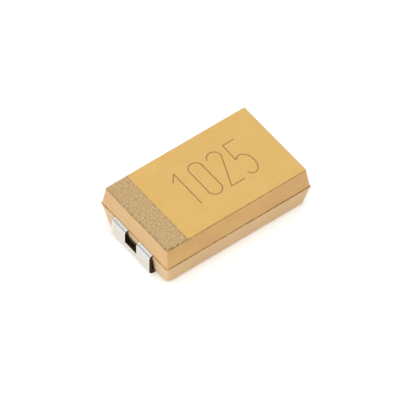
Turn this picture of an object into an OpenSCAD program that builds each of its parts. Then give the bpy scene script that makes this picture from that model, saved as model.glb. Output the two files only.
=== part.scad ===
// Moulded chip tantalum capacitor, 7343 footprint, low profile.
// The origin is the middle of the solder plane, +X runs from the anode end to
// the cathode end, and +Z is up. Lengths are in millimetres.

/* [Case] */
// Length of the moulding over its parting lip
case_l = 7.0; // [6.6:0.05:7.4]
// Width of the moulding over its parting lip
case_w = 4.3; // [4.1:0.05:4.6]
// Height of the moulding from its underside to its top face
case_h = 1.95; // [1.85:0.05:2.8]
// Clear height of the underside above the solder plane
stand_off = 0.05; // [0.02:0.01:0.1]
// Draft of the two ends, in degrees
end_draft = 6; // [4:0.5:9]
// Draft of the two long sides, in degrees
side_draft = 8; // [4:0.5:9]
// How far the parting lip stands out from both halves
lip_out = 0.025; // [0.01:0.005:0.05]
// Thickness of the parting lip
lip_t = 0.04; // [0.02:0.01:0.08]
// Corner radius of both halves at the parting line
part_corner_r = 0.08; // [0.05:0.01:0.15]
// Corner radius at the top face
top_corner_r = 0.07; // [0.06:0.01:0.15]
// Corner radius at the underside
base_corner_r = 0.25; // [0.15:0.01:0.4]
// Rounding of the rim of the top face
top_rim_r = 0.04; // [0.03:0.01:0.05]
// Rounding of the rim of the underside
base_rim_r = 0.08; // [0.05:0.01:0.12]

/* [Terminal strip] */
// Thickness of the strip
strip_t = 0.12; // [0.08:0.01:0.14]
// Width of the strip
strip_w = 2.4; // [2.2:0.05:2.6]
// Gap between the end of the case and the upright run
lead_gap = 0.03; // [0.02:0.01:0.08]
// Inner radius of the bend at the exit from the case
exit_bend_r = 0.05; // [0.03:0.01:0.1]
// Inner radius of the bend into the foot
foot_bend_r = 0.1; // [0.05:0.01:0.15]
// Length of the solder pad, measured from the outer face
pad_l = 1.3; // [1.1:0.05:1.6]
// Gap between a folded foot and its pocket in the case
pocket_gap = 0.03; // [0.02:0.01:0.06]

/* [Anode terminal] */
// Width of the notch between the two tabs
notch_w = 0.74; // [0.5:0.02:1.0]
// Height of the floor of the notch above the solder plane
notch_floor = 0.48; // [0.4:0.02:0.6]
// How far the notch reaches into the case
notch_in = 0.5; // [0.3:0.05:0.6]
// Length of the tongue inside the case
tongue_l = 1.2; // [1.0:0.05:1.4]

/* [Cathode terminal] */
// Length of the flat run that the end wall of the case holds
wall_hold = 0.45; // [0.3:0.05:0.6]
// Slope of the joggle down to the underside of the pellet, in degrees
joggle_angle = 60; // [50:1:75]
// Inner radius of the joggle bends
joggle_r = 0.1; // [0.06:0.01:0.15]
// Gap between the coated pellet and the foot of the joggle
joggle_gap = 0.05; // [0.03:0.01:0.1]
// Length of the flat cradle under the pellet
cradle_l = 3.0; // [2.0:0.1:3.6]

/* [Pellet] */
// Moulding left over the coated pellet
roof_t = 0.18; // [0.15:0.01:0.3]
// Moulding left beside the coated pellet at the parting line
side_wall = 0.47; // [0.35:0.01:0.7]
// Gap between the tongue and the pellet
tongue_gap = 0.3; // [0.25:0.05:0.5]
// Rounding of the long edges of the pellet
pellet_r = 0.15; // [0.1:0.01:0.25]
// Diameter of the tantalum wire
wire_d = 0.25; // [0.2:0.01:0.3]
// Length of the wire inside the pellet
wire_in = 1.2; // [0.8:0.1:2.0]
// Depth of the flat where the wire is welded to the tongue
weld_flat = 0.02; // [0.01:0.005:0.04]
// Distance from the end of the wire to the notch
weld_margin = 0.15; // [0.05:0.05:0.25]
// Diameter of the washer
washer_d = 0.7; // [0.5:0.05:0.9]
// Thickness of the washer
washer_t = 0.12; // [0.08:0.01:0.2]

/* [Coats] */
// Thickness of the manganese dioxide coat
dioxide_t = 0.03; // [0.02:0.005:0.05]
// Thickness of the graphite coat
graphite_t = 0.02; // [0.01:0.005:0.04]
// Thickness of the silver coat
silver_t = 0.03; // [0.02:0.005:0.05]
// Bare margin of the dioxide coat in front of the graphite
graphite_back = 0.15; // [0.1:0.05:0.3]
// Bare margin of the graphite in front of the silver
silver_back = 0.15; // [0.1:0.05:0.3]
// Thickness of the silver adhesive
glue_t = 0.03; // [0.02:0.005:0.05]
// Margin of the cradle left free round the adhesive
glue_margin = 0.15; // [0.1:0.05:0.3]

/* [Marking] */
// Length of the polarity band from the anode edge of the top face
band_l = 1.02; // [0.8:0.02:1.3]
// Depth of the polarity band in the top face
band_t = 0.02; // [0.01:0.005:0.03]

/* [Hidden] */
$fn = 48;
hull_fn = 32;

// Heights of the case
case_top = stand_off + case_h;
part_z = stand_off + case_h / 2;
half_h = case_h / 2;

// Plan of both halves at the parting line and at their far faces
part_l = case_l - 2 * lip_out;
part_w = case_w - 2 * lip_out;
face_l = part_l - 2 * half_h * tan(end_draft);
face_w = part_w - 2 * half_h * tan(side_draft);

// Terminal strip, on its centre line
lead_x = case_l / 2 + lead_gap + strip_t / 2;
exit_r = exit_bend_r + strip_t / 2;
fold_r = foot_bend_r + strip_t / 2;
upright = part_z - exit_r - fold_r - strip_t / 2;
foot_run = pad_l - fold_r - strip_t / 2;
foot_end_x = lead_x + strip_t / 2 - pad_l;

// Tongue and wire
tongue_x = -case_l / 2 + tongue_l;
wire_z = part_z + strip_t / 2 + wire_d / 2 - weld_flat;
wire_x0 = -case_l / 2 + notch_in + weld_margin;

// Coats, counted outward from the pellet
coat_1 = dioxide_t;
coat_2 = coat_1 + graphite_t;
coat_3 = coat_2 + silver_t;

// The pellet sits round the wire, as tall as the roof of the case allows
pellet_h = 2 * (case_top - roof_t - coat_3 - wire_z);
pellet_w = part_w - 2 * side_wall - 2 * coat_3;
pellet_x0 = tongue_x + tongue_gap;
wire_x1 = pellet_x0 + wire_in;

// The cradle lies under the coated pellet, and the joggle leads down to it
coat_base_z = wire_z - pellet_h / 2 - coat_3;
cradle_z = coat_base_z - glue_t - strip_t / 2;
joggle_bend_r = joggle_r + strip_t / 2;
joggle_drop = part_z - cradle_z - 2 * joggle_bend_r * (1 - cos(joggle_angle));
joggle_run = joggle_drop / sin(joggle_angle);
joggle_l = 2 * joggle_bend_r * sin(joggle_angle) + joggle_run * cos(joggle_angle);
cradle_x1 = case_l / 2 - wall_hold - joggle_l;
coated_x1 = cradle_x1 - joggle_gap;
pellet_l = coated_x1 - coat_3 - pellet_x0;
glue_l = cradle_l - joggle_gap - 2 * glue_margin;

band_x = -face_l / 2 + band_l;

// Puts its children at the four corners of a rectangle.
module at_corners(l, w) {
    for (sx = [-1, 1], sy = [-1, 1])
        translate([sx * l / 2, sy * w / 2, 0]) children();
}

// A round rim of radius rim_r on a corner of radius corner_r.
module rim_ring(corner_r, rim_r) {
    rotate_extrude($fn = hull_fn)
        intersection() {
            translate([corner_r - rim_r, 0]) circle(r = rim_r);
            translate([0, -rim_r]) square([corner_r, 2 * rim_r]);
        }
}

// One drafted half of the case, standing on the parting plane.
module case_half(corner_r, rim_r) {
    hull() {
        at_corners(part_l - 2 * part_corner_r, part_w - 2 * part_corner_r)
            cylinder(h = lip_t / 2, r = part_corner_r, $fn = hull_fn);
        translate([0, 0, half_h - rim_r])
            at_corners(face_l - 2 * corner_r, face_w - 2 * corner_r)
                rim_ring(corner_r, rim_r);
    }
}

// The lip that the mould leaves all round, except where it clamps the strips.
module parting_lip() {
    difference() {
        hull()
            at_corners(case_l - 2 * part_corner_r, case_w - 2 * part_corner_r)
                cylinder(h = lip_t, r = part_corner_r, center = true, $fn = hull_fn);
        for (side = [-1, 1])
            translate([side * (part_l / 2 + lip_out), 0, 0])
                cube([2 * lip_out, strip_w + 2 * lip_out, 2 * lip_t], center = true);
    }
}

// Outer form of the moulding, with nothing taken out of it.
module case_form() {
    translate([0, 0, part_z]) {
        case_half(top_corner_r, top_rim_r);
        mirror([0, 0, 1]) case_half(base_corner_r, base_rim_r);
        parting_lip();
    }
}

// The shallow pockets that the folded feet lie in.
module foot_pockets() {
    for (side = [0, 1])
        mirror([side, 0, 0])
            translate([foot_end_x - pocket_gap, -strip_w / 2 - pocket_gap, 0])
                cube([pad_l, strip_w + 2 * pocket_gap, strip_t + pocket_gap]);
}

// The skin of the top face that the polarity band takes, and all above it.
module band_slab() {
    translate([-case_l, -case_w, case_top - band_t])
        cube([case_l + band_x, 2 * case_w, case_h]);
}

module case() {
    color("#E2BB71")
        difference() {
            case_form();
            foot_pockets();
            anode_terminal();
            cathode_terminal();
            coated_pellet();
            tantalum_wire();
            ptfe_washer();
            silver_adhesive();
            band_slab();
        }
}

// One bend of the strip: it turns up for a positive angle, down for a negative.
module strip_bend(turn, inner_r) {
    rotate([90, 0, 0])
        rotate([0, 0, turn > 0 ? -90 : 90 + turn])
            rotate_extrude(angle = abs(turn))
                translate([inner_r, -strip_w / 2]) square([strip_t, strip_w]);
}

// The strip along a chain of [run, turn, inner radius], heading +X at first.
module strip(chain, i = 0) {
    run = chain[i][0];
    turn = chain[i][1];
    inner_r = chain[i][2];
    centre = [0, 0, sign(turn) * (inner_r + strip_t / 2)];
    translate([0, -strip_w / 2, -strip_t / 2]) cube([run, strip_w, strip_t]);
    if (i < len(chain) - 1)
        translate([run, 0, 0] + centre) {
            strip_bend(turn, inner_r);
            rotate([0, -turn, 0]) translate(-centre) strip(chain, i + 1);
        }
}

// What both strips share outside the case: the exit bend, the upright, the foot.
function outer_chain(inner_run) = [
    [inner_run + lead_x - case_l / 2 - exit_r, -90, exit_bend_r],
    [upright, -90, foot_bend_r],
    [foot_run, 0, 0]
];

module anode_terminal() {
    color("#E6E1D6")
        difference() {
            translate([tongue_x, 0, part_z])
                rotate([0, 0, 180])
                    strip(outer_chain(tongue_l));
            translate([-case_l, -notch_w / 2, notch_floor])
                cube([case_l / 2 + notch_in, notch_w, case_h]);
        }
}

module cathode_terminal() {
    color("#E6E1D6")
        translate([cradle_x1 - cradle_l, 0, cradle_z])
            strip(concat(
                [[cradle_l, joggle_angle, joggle_r], [joggle_run, -joggle_angle, joggle_r]],
                outer_chain(wall_hold)
            ));
}

// The pellet's form grown by a coat, from a distance before its wire face.
module pellet_form(grow, before) {
    l = before + pellet_l + grow;
    w = pellet_w + 2 * grow;
    h = pellet_h + 2 * grow;
    r = pellet_r + grow;
    translate([pellet_x0 - before, 0, wire_z])
        rotate([90, 0, 90])
            linear_extrude(l) {
                square([w - 2 * r, h], center = true);
                square([w, h - 2 * r], center = true);
                at_corners(w - 2 * r, h - 2 * r) circle(r = r);
            }
}

// Pellet and coats together.
module coated_pellet() {
    pellet_form(coat_1, coat_1);
    pellet_form(coat_2, -graphite_back);
    pellet_form(coat_3, -graphite_back - silver_back);
}

module anode_pellet() {
    color("#4A4A4E")
        difference() {
            pellet_form(0, 0);
            tantalum_wire();
        }
}

module tantalum_wire() {
    color("#8C8F96")
        difference() {
            translate([wire_x0, 0, wire_z])
                rotate([0, 90, 0])
                    cylinder(h = wire_x1 - wire_x0, d = wire_d);
            anode_terminal();
        }
}

module ptfe_washer() {
    color("#F4F4F0")
        difference() {
            translate([pellet_x0 - washer_t, 0, wire_z])
                rotate([0, 90, 0])
                    cylinder(h = washer_t, d = washer_d);
            tantalum_wire();
        }
}

module manganese_dioxide_coat() {
    color("#26221F")
        difference() {
            pellet_form(coat_1, coat_1);
            pellet_form(0, 0);
            ptfe_washer();
            tantalum_wire();
        }
}

module graphite_coat() {
    color("#3C3C3C")
        difference() {
            pellet_form(coat_2, -graphite_back);
            pellet_form(coat_1, coat_1);
        }
}

module silver_coat() {
    color("#C4C4C8")
        difference() {
            pellet_form(coat_3, -graphite_back - silver_back);
            pellet_form(coat_2, -graphite_back);
        }
}

module silver_adhesive() {
    color("#A9A9AE")
        translate([coated_x1 - glue_margin - glue_l, -strip_w / 2 + glue_margin,
                   coat_base_z - glue_t])
            cube([glue_l, strip_w - 2 * glue_margin, glue_t]);
}

module polarity_band() {
    color("#C3A981")
        intersection() {
            case_form();
            band_slab();
        }
}

case();
anode_terminal();
cathode_terminal();
anode_pellet();
tantalum_wire();
ptfe_washer();
manganese_dioxide_coat();
graphite_coat();
silver_coat();
silver_adhesive();
polarity_band();
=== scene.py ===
"""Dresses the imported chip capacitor: its moulded case, polarity band, marking and tinned
terminals, on a white studio floor. Lengths are in metres, in the part's own frame."""
import math
import random

import bmesh
import bpy
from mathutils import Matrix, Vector


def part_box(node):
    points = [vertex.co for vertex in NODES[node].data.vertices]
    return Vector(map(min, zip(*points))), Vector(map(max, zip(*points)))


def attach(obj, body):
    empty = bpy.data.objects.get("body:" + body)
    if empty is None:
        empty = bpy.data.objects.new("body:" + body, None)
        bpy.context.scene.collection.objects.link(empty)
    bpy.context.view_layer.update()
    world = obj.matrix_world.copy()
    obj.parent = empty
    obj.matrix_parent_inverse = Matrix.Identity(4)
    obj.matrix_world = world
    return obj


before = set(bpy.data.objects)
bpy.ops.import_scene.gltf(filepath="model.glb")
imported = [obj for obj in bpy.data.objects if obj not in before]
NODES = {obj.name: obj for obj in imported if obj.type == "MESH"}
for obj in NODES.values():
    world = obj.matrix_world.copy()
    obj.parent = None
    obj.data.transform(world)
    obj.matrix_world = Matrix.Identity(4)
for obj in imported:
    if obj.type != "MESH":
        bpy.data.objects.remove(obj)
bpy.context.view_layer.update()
MM = 0.001
RESIN_IOR = 1.5


# ---------------------------------------------------------------- shader helpers

def srgb(r, g, b):
    """A linear colour from one written as it looks on screen, 0 to 255."""
    def linear(v):
        v /= 255
        return v / 12.92 if v <= 0.04045 else ((v + 0.055) / 1.055) ** 2.4
    return (linear(r), linear(g), linear(b), 1.0)


class Shader:
    """A node material built by short calls, each returning an output socket."""

    def __init__(self, name):
        self.material = bpy.data.materials.new(name)
        self.material.use_nodes = True
        self.tree = self.material.node_tree
        self.tree.nodes.clear()
        self.output = self.add("ShaderNodeOutputMaterial")
        coordinates = self.add("ShaderNodeTexCoord")
        self.place = coordinates.outputs["Object"]
        self.normal = coordinates.outputs["Normal"]

    def add(self, kind, **settings):
        node = self.tree.nodes.new(kind)
        for key, value in settings.items():
            setattr(node, key, value)
        return node

    def join(self, value, socket):
        if isinstance(value, bpy.types.NodeSocket):
            self.tree.links.new(value, socket)
        else:
            socket.default_value = value

    def noise(self, per_mm, detail=2.0, rough=0.5, stretch=(1, 1, 1)):
        """Noise with about per_mm blobs to the millimetre."""
        scale = self.add("ShaderNodeMapping")
        self.join(self.place, scale.inputs["Vector"])
        scale.inputs["Scale"].default_value = stretch
        node = self.add("ShaderNodeTexNoise")
        self.join(scale.outputs["Vector"], node.inputs["Vector"])
        node.inputs["Scale"].default_value = per_mm / MM
        node.inputs["Detail"].default_value = detail
        node.inputs["Roughness"].default_value = rough
        return node.outputs["Fac"]

    def ramp(self, value, *stops):
        """A colour ramp through (position, colour) stops."""
        node = self.add("ShaderNodeValToRGB")
        elements = node.color_ramp.elements
        while len(elements) < len(stops):
            elements.new(0.5)
        for element, (position, colour) in zip(elements, stops):
            element.position = position
            element.color = colour
        self.join(value, node.inputs["Fac"])
        return node.outputs["Color"]

    def mix(self, factor, a, b, blend="MIX"):
        node = self.add("ShaderNodeMix", data_type="RGBA", blend_type=blend)
        self.join(factor, node.inputs[0])
        self.join(a, node.inputs[6])
        self.join(b, node.inputs[7])
        return node.outputs[2]

    def map(self, value, low, high, start=0.0, end=1.0):
        node = self.add("ShaderNodeMapRange")
        self.join(value, node.inputs["Value"])
        node.inputs["From Min"].default_value = start
        node.inputs["From Max"].default_value = end
        node.inputs["To Min"].default_value = low
        node.inputs["To Max"].default_value = high
        return node.outputs["Result"]

    def math(self, operation, a, b):
        node = self.add("ShaderNodeMath", operation=operation)
        self.join(a, node.inputs[0])
        self.join(b, node.inputs[1])
        return node.outputs[0]

    def absolute(self, value):
        return self.math("ABSOLUTE", value, 0.0)

    def axis(self, letter):
        """One coordinate of the shaded point, in the part's frame."""
        node = self.add("ShaderNodeSeparateXYZ")
        self.join(self.place, node.inputs[0])
        return node.outputs[letter]

    def facing(self, letter):
        """One component of the surface's own normal, in the part's frame."""
        node = self.add("ShaderNodeSeparateXYZ")
        self.join(self.normal, node.inputs[0])
        return node.outputs[letter]

    def band(self, value, centre, half, soft):
        """1 within half of a centre, falling to 0 over a soft edge."""
        off = self.absolute(self.math("SUBTRACT", value, centre))
        return self.map(off, 1.0, 0.0, half, half + soft)

    def bump(self, height, depth):
        node = self.add("ShaderNodeBump")
        node.inputs["Strength"].default_value = 1.0
        node.inputs["Distance"].default_value = depth
        self.join(height, node.inputs["Height"])
        return node.outputs["Normal"]

    def finish(self, colour, roughness, normal, metallic=0.0):
        node = self.add("ShaderNodeBsdfPrincipled")
        self.join(colour, node.inputs["Base Color"])
        self.join(roughness, node.inputs["Roughness"])
        node.inputs["Metallic"].default_value = metallic
        node.inputs["IOR"].default_value = RESIN_IOR
        self.join(normal, node.inputs["Normal"])
        self.join(node.outputs["BSDF"], self.output.inputs["Surface"])
        return self.material


def dress(name, material):
    """Gives a carried-over node its material."""
    data = NODES[name].data
    data.materials.clear()
    data.materials.append(material)


# ---------------------------------------------------------------- sizes

CASE_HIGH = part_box("case")[1]
BAND_LOW, BAND_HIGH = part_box("polarity_band")
ANODE_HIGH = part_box("anode_terminal")[1]
STRIP_T = 0.12 * MM
PARTING_Z = ANODE_HIGH.z - STRIP_T / 2
LIP_HALF = 0.02 * MM
TOP_RIM = 0.04 * MM
STRIP_HALF = ANODE_HIGH.y
NOTCH_HALF = 0.37 * MM
NOTCH_FLOOR = 0.48 * MM


# ---------------------------------------------------------------- materials

def parting_line_and_lip_highlight(s, colour):
    """A broken dark line just above the parting lip, and a painted highlight on the lip itself."""
    wander = s.map(s.noise(3, detail=3), -0.015 * MM, 0.015 * MM)
    height = s.math("ADD", s.axis("Z"), wander)
    dark_line = s.band(height, PARTING_Z + LIP_HALF + 0.025 * MM, 0.024 * MM, 0.03 * MM)
    broken = s.map(s.noise(5, detail=3), 0.4, 0.9, 0.35, 0.6)
    colour = s.mix(s.math("MULTIPLY", dark_line, broken), colour, srgb(140, 92, 48))
    # Painted highlight: the lip is mixed half way to a pale tone, as if it caught the light.
    lip = s.band(s.axis("Z"), PARTING_Z, LIP_HALF, 0.004 * MM)
    return s.mix(s.math("MULTIPLY", lip, 0.5), colour, srgb(244, 220, 172))


def wall_shade_and_light(s, colour):
    """Painted shade makes the walls browner than the top, with random blotches; painted light makes
    them paler at the two ends and below the lip.
    """
    end = s.map(s.absolute(s.facing("X")), 0.0, 0.2, 0.6, 0.9)
    below = s.map(s.axis("Z"), 0.3, 0.0, PARTING_Z - 0.05 * MM, PARTING_Z)
    wall = s.map(s.absolute(s.facing("Z")), 1.0, 0.0, 0.3, 0.6)
    colour = s.mix(s.math("MULTIPLY", wall, 0.45), colour, srgb(212, 163, 108))
    blotch = s.noise(1.2, detail=4, rough=0.6, stretch=(0.7, 0.7, 1.6))
    cloud = s.map(blotch, 0.0, 0.42, 0.42, 0.66)
    colour = s.mix(s.math("MULTIPLY", wall, cloud), colour, srgb(200, 148, 100))
    # Painted light: paler towards white at the two ends and below the lip.
    painted_light = s.math("MULTIPLY", s.math("ADD", end, below), wall)
    return s.mix(painted_light, colour, srgb(240, 220, 186))


def rim_painted_shade(s, colour):
    """Painted shade makes the rim of the top face a little browner where it turns down, in broken
    patches.
    """
    rim = s.band(s.axis("Z"), CASE_HIGH.z - TOP_RIM / 2, TOP_RIM / 2 - 0.004 * MM, 0.02 * MM)
    slope = s.map(s.facing("Z"), 1.0, 0.0, 0.9, 0.99)
    broken = s.map(s.noise(4, detail=3), 0.45, 0.95, 0.35, 0.65)
    rim_shade = s.math("MULTIPLY", s.math("MULTIPLY", rim, slope), broken)
    return s.mix(rim_shade, colour, srgb(156, 110, 58))


def lead_shade(s, colour):
    """A dark tone low on the end walls, in the narrow gap behind the terminals."""
    behind = s.map(s.absolute(s.axis("Y")), 1.0, 0.0, STRIP_HALF - 0.06 * MM, STRIP_HALF + 0.03 * MM)
    low = s.map(s.axis("Z"), 1.0, 0.0, NOTCH_FLOOR + 0.1 * MM, NOTCH_FLOOR + 0.28 * MM)
    out = s.map(s.absolute(s.axis("X")), 0.0, 0.9, 3.2 * MM, 3.3 * MM)
    shade = s.math("MULTIPLY", s.math("MULTIPLY", behind, low), out)
    return s.mix(shade, colour, srgb(58, 34, 16))


def moulded_epoxy():
    s = Shader("moulded_epoxy")
    cloud = s.noise(1.1, detail=3)
    grain = s.noise(20, detail=4, rough=0.7)
    mottle = s.noise(5, detail=3, rough=0.6)
    colour = s.ramp(cloud, (0.3, srgb(222, 178, 97)), (0.7, srgb(226, 184, 105)))
    colour = s.mix(s.map(mottle, 0.0, 0.22, 0.4, 0.65), colour, srgb(214, 168, 88))
    colour = s.mix(s.map(grain, 0.0, 0.4, 0.45, 0.75), colour, srgb(204, 160, 88))
    colour = wall_shade_and_light(s, colour)
    colour = rim_painted_shade(s, colour)
    colour = parting_line_and_lip_highlight(s, colour)
    colour = lead_shade(s, colour)
    return s.finish(colour, s.map(grain, 0.48, 0.6), s.bump(grain, 0.004 * MM))


def marked_band():
    """A matt print of fine crossed strokes, dark and ragged along its two long edges."""
    s = Shader("polarity_mark")
    along = s.noise(13, detail=3, rough=0.6, stretch=(1.9, 0.6, 1))
    across = s.noise(13, detail=3, rough=0.6, stretch=(0.6, 1.9, 1))
    weave = s.math("MULTIPLY", s.math("ADD", along, across), 0.5)
    colour = s.ramp(weave, (0.38, srgb(168, 136, 88)), (0.5, srgb(192, 160, 111)),
                    (0.62, srgb(214, 186, 138)))
    ragged = s.map(s.noise(11, detail=2), -0.03 * MM, 0.03 * MM)
    place = s.math("ADD", s.axis("X"), ragged)
    inner = s.band(place, BAND_HIGH.x, 0.03 * MM, 0.02 * MM)
    outer = s.band(place, BAND_LOW.x + 0.02 * MM, 0.03 * MM, 0.02 * MM)
    dots = s.map(s.noise(9, detail=2), 0.1, 0.9, 0.42, 0.58)
    edge = s.math("MULTIPLY", s.math("MAXIMUM", inner, outer), dots)
    near = s.map(s.axis("Y"), 0.9, 0.55, BAND_LOW.y, BAND_LOW.y + 0.9 * MM)
    colour = s.mix(s.math("MULTIPLY", edge, near), colour, srgb(120, 84, 42))
    side = s.band(s.axis("Y"), BAND_LOW.y, 0.05 * MM, 0.03 * MM)
    colour = s.mix(s.math("MULTIPLY", side, dots), colour, srgb(112, 76, 38))
    return s.finish(colour, 0.62, s.bump(weave, 0.006 * MM))


def tinned_strip(name, notched):
    """Bright tin on both faces, a painted highlight along the stamped edges, and dark brown edge
    faces: bare metal darkened further by painted shade.
    """
    s = Shader(name)
    grain = s.noise(12, detail=4)
    colour = s.ramp(grain, (0.3, srgb(212, 209, 198)), (0.7, srgb(224, 221, 211)))
    patch = s.map(s.noise(4, detail=3), 0.4, 1.0, 0.4, 0.55)
    bend = s.map(s.axis("Z"), 0.0, 1.0, PARTING_Z - 0.32 * MM, PARTING_Z - 0.2 * MM)
    colour = s.mix(s.math("MULTIPLY", bend, patch), colour, srgb(216, 219, 220))
    # Painted highlight along the edges of the strip and the sides of the notch, where the rolled
    # edge catches the light.
    edge_highlight = s.band(s.absolute(s.axis("Y")), STRIP_HALF, 0.03 * MM, 0.012 * MM)
    if notched:
        side = s.band(s.absolute(s.axis("Y")), NOTCH_HALF, 0.03 * MM, 0.012 * MM)
        over = s.map(s.axis("Z"), 0.0, 1.0, NOTCH_FLOOR - 0.03 * MM, NOTCH_FLOOR)
        edge_highlight = s.math("MAXIMUM", edge_highlight, s.math("MULTIPLY", side, over))
    colour = s.mix(s.math("MULTIPLY", edge_highlight, 0.6), colour, srgb(246, 243, 234))
    # The edge faces and the notch floor are bare metal, darkened further by painted shade.
    sheared = s.map(s.absolute(s.facing("Y")), 0.0, 1.0, 0.6, 0.8)
    floor = s.math("MULTIPLY", s.band(s.axis("Z"), NOTCH_FLOOR, 0.01 * MM, 0.002 * MM),
                   s.map(s.facing("Z"), 0.0, 1.0, 0.6, 0.8))
    bare_metal_and_shade = s.math("MAXIMUM", sheared, floor)
    colour = s.mix(bare_metal_and_shade, colour, srgb(72, 48, 32))
    roughness = s.math("ADD", s.map(grain, 0.3, 0.4), s.math("MULTIPLY", bare_metal_and_shade, 0.25))
    return s.finish(colour, roughness, s.bump(grain, 0.003 * MM), metallic=1.0)


def two_tone(name, dark, light, per_mm, roughness, metallic=0.0, depth=0.003):
    """A plain finish that wavers between two tones, with a fine relief."""
    s = Shader(name)
    grain = s.noise(per_mm, detail=4, rough=0.6)
    colour = s.ramp(grain, (0.35, srgb(*dark)), (0.65, srgb(*light)))
    rough = s.map(grain, roughness - 0.05, roughness + 0.05)
    return s.finish(colour, rough, s.bump(grain, depth * MM), metallic=metallic)


FINISHES = {
    "case": moulded_epoxy(),
    "polarity_band": marked_band(),
    "anode_terminal": tinned_strip("tinned_anode", notched=True),
    "cathode_terminal": tinned_strip("tinned_cathode", notched=False),
    "anode_pellet": two_tone("sintered_tantalum", (58, 59, 63), (92, 93, 98), 14, 0.75, 0.6, 0.01),
    "tantalum_wire": two_tone("tantalum_wire", (128, 131, 139), (154, 157, 164), 9, 0.32, 1.0),
    "ptfe_washer": two_tone("ptfe", (228, 228, 224), (240, 240, 236), 6, 0.5),
    "manganese_dioxide_coat": two_tone("manganese_dioxide", (30, 27, 25), (50, 45, 41), 16, 0.7,
                                       0.0, 0.006),
    "graphite_coat": two_tone("graphite", (50, 50, 52), (74, 74, 76), 12, 0.45, 0.2),
    "silver_coat": two_tone("silver_paint", (176, 176, 180), (206, 206, 210), 10, 0.45, 0.8),
    "silver_adhesive": two_tone("silver_adhesive", (150, 150, 155), (186, 186, 190), 14, 0.55, 0.6),
}
for node_name, finish in FINISHES.items():
    dress(node_name, finish)


# ---------------------------------------------------------------- marking

DIGIT_W = 0.6
DIGIT_H = 1.82
DIGIT_PITCH = 0.89
DIGITS_LEFT = -1.2
DIGITS_BASE = -0.88
DOT_R = 0.029
DOT_PITCH = 0.05
DOT_SIDES = 10
INK_T = 0.003
DOT_SCATTER = 0.004


def arc(cx, cy, rx, ry, start, end, steps=24):
    """Points along part of an ellipse, from one angle to another in degrees."""
    turns = [math.radians(start + (end - start) * i / steps) for i in range(steps + 1)]
    return [(cx + rx * math.cos(a), cy + ry * math.sin(a)) for a in turns]


def glyph_one():
    return [(0.06, DIGIT_H - 0.34), (0.34, DIGIT_H), (0.34, 0)]


def glyph_zero():
    w = DIGIT_W / 2
    top = arc(w, DIGIT_H - w, w, w, 0, 180)
    bottom = arc(w, w, w, w, 180, 360)
    return top + bottom + [top[0]]


def glyph_two():
    r = DIGIT_W / 2
    return arc(r, DIGIT_H - r, r, r, 165, -30) + [(0.0, 0.0), (DIGIT_W, 0.0)]


def glyph_five():
    w = DIGIT_W
    bowl = arc(w * 0.45, 0.53, w * 0.55, 0.53, 125, -140)
    return [(w * 0.94, DIGIT_H), (0.04, DIGIT_H), (0.02, 0.95)] + bowl


def along(path, pitch):
    """Points at an even pitch along a path."""
    left = 0.0
    for (x0, y0), (x1, y1) in zip(path, path[1:]):
        run = math.hypot(x1 - x0, y1 - y0)
        at = left
        while at < run:
            yield x0 + (x1 - x0) * at / run, y0 + (y1 - y0) * at / run
            at += pitch
        left = at - run


def add_dot(mesh, x, y, low, high):
    """One closed disc of ink."""
    turns = [2 * math.pi * i / DOT_SIDES for i in range(DOT_SIDES)]
    ring = [(x + DOT_R * math.cos(a), y + DOT_R * math.sin(a)) for a in turns]
    base = [mesh.verts.new((px * MM, py * MM, low)) for px, py in ring]
    face = [mesh.verts.new((px * MM, py * MM, high)) for px, py in ring]
    mesh.faces.new(face)
    mesh.faces.new(base[::-1])
    for i in range(DOT_SIDES):
        j = (i + 1) % DOT_SIDES
        mesh.faces.new((base[i], base[j], face[j], face[i]))


def add_digits():
    """A plain number of dotted strokes on the top face, read along the part."""
    scatter = random.Random(7)
    mesh = bmesh.new()
    low = CASE_HIGH.z - INK_T / 2 * MM
    high = CASE_HIGH.z + INK_T * MM
    for place, glyph in enumerate((glyph_one(), glyph_zero(), glyph_two(), glyph_five())):
        left = DIGITS_LEFT + place * DIGIT_PITCH
        for x, y in along(glyph, DOT_PITCH):
            dx = scatter.uniform(-DOT_SCATTER, DOT_SCATTER)
            dy = scatter.uniform(-DOT_SCATTER, DOT_SCATTER)
            add_dot(mesh, left + x + dx, DIGITS_BASE + y + dy, low, high)
    data = bpy.data.meshes.new("rating_digits")
    mesh.to_mesh(data)
    mesh.free()
    digits = bpy.data.objects.new("rating_digits", data)
    bpy.context.scene.collection.objects.link(digits)
    data.materials.append(two_tone("marking_ink", (146, 112, 64), (176, 138, 84), 20, 0.55))
    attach(digits, "root")


add_digits()


# ---------------------------------------------------------------- studio

CAMERA_AZIMUTH = -37.125
CAMERA_ELEVATION = 50.91
CAMERA_DISTANCE = 300 * MM
CAMERA_LENS = 672.6
# The frame's centre lies a little right of and below the middle of the case.
AIM_RIGHT = 0.057 * MM
AIM_UP = -0.493 * MM

FLOOR_HALF = 400 * MM
FLOOR_GREY = 0.86
FLOOR_LIFT = 0.3
WORLD_LIGHT = 0.55


def add_camera():
    azimuth = math.radians(CAMERA_AZIMUTH)
    elevation = math.radians(CAMERA_ELEVATION)
    flat = math.cos(elevation)
    back = Vector((math.sin(azimuth) * flat, -math.cos(azimuth) * flat, math.sin(elevation)))
    right = Vector((math.cos(azimuth), math.sin(azimuth), 0))
    up = back.cross(right)
    low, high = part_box("case")
    aim = (low + high) / 2 + right * AIM_RIGHT + up * AIM_UP
    data = bpy.data.cameras.new("camera")
    data.lens = CAMERA_LENS
    data.sensor_width = 36
    data.clip_start = 0.01
    data.clip_end = 10
    camera = bpy.data.objects.new("camera", data)
    camera.location = aim + back * CAMERA_DISTANCE
    camera.rotation_mode = "QUATERNION"
    camera.rotation_quaternion = (-back).to_track_quat("-Z", "Y")
    bpy.context.scene.collection.objects.link(camera)
    bpy.context.scene.camera = camera


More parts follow.
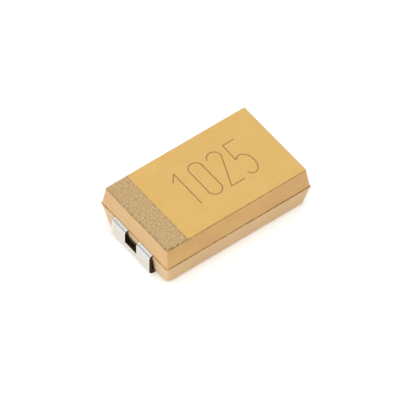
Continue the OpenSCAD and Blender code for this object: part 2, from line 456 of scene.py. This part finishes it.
def add_floor():
    size = FLOOR_HALF
    mesh = bpy.data.meshes.new("floor")
    corners = [(-size, -size, 0), (size, -size, 0), (size, size, 0), (-size, size, 0)]
    mesh.from_pydata(corners, [], [(0, 1, 2, 3)])
    floor = bpy.data.objects.new("floor", mesh)
    bpy.context.scene.collection.objects.link(floor)
    s = Shader("floor")
    paths = s.add("ShaderNodeLightPath")
    seen = s.add("ShaderNodeMath", operation="MAXIMUM")
    s.join(paths.outputs["Is Camera Ray"], seen.inputs[0])
    s.join(paths.outputs["Is Glossy Ray"], seen.inputs[1])
    lift = s.add("ShaderNodeMath", operation="MULTIPLY")
    s.join(seen.outputs[0], lift.inputs[0])
    lift.inputs[1].default_value = FLOOR_LIFT
    diffuse = s.add("ShaderNodeBsdfDiffuse")
    diffuse.inputs["Color"].default_value = (FLOOR_GREY, FLOOR_GREY, FLOOR_GREY, 1)
    glow = s.add("ShaderNodeEmission")
    s.join(lift.outputs[0], glow.inputs["Strength"])
    both = s.add("ShaderNodeAddShader")
    s.join(diffuse.outputs[0], both.inputs[0])
    s.join(glow.outputs[0], both.inputs[1])
    s.join(both.outputs[0], s.output.inputs["Surface"])
    mesh.materials.append(s.material)


def add_softbox(name, place, size, power):
    data = bpy.data.lights.new(name, "AREA")
    data.shape = "RECTANGLE"
    data.size, data.size_y = size
    data.energy = power
    light = bpy.data.objects.new(name, data)
    light.location = place
    light.rotation_mode = "QUATERNION"
    light.rotation_quaternion = (-Vector(place)).to_track_quat("-Z", "Y")
    bpy.context.scene.collection.objects.link(light)


def add_world():
    world = bpy.data.worlds.new("studio")
    world.use_nodes = True
    bpy.context.scene.world = world
    tree = world.node_tree
    background = tree.nodes["Background"]
    paths = tree.nodes.new("ShaderNodeLightPath")
    mix = tree.nodes.new("ShaderNodeMapRange")
    mix.inputs["To Min"].default_value = WORLD_LIGHT
    mix.inputs["To Max"].default_value = 1.0
    tree.links.new(paths.outputs["Is Camera Ray"], mix.inputs["Value"])
    tree.links.new(mix.outputs["Result"], background.inputs["Strength"])
    background.inputs["Color"].default_value = (1, 1, 1, 1)


add_camera()
add_floor()
add_softbox("overhead", (0, 0, 0.2), (0.3, 0.3), 0.28)
add_softbox("end_fill", (-0.2, -0.03, 0.07), (0.15, 0.1), 0.12)
add_softbox("side_fill", (0.05, -0.2, 0.07), (0.2, 0.1), 0.03)
add_world()
bpy.context.scene.view_settings.view_transform = "Standard"
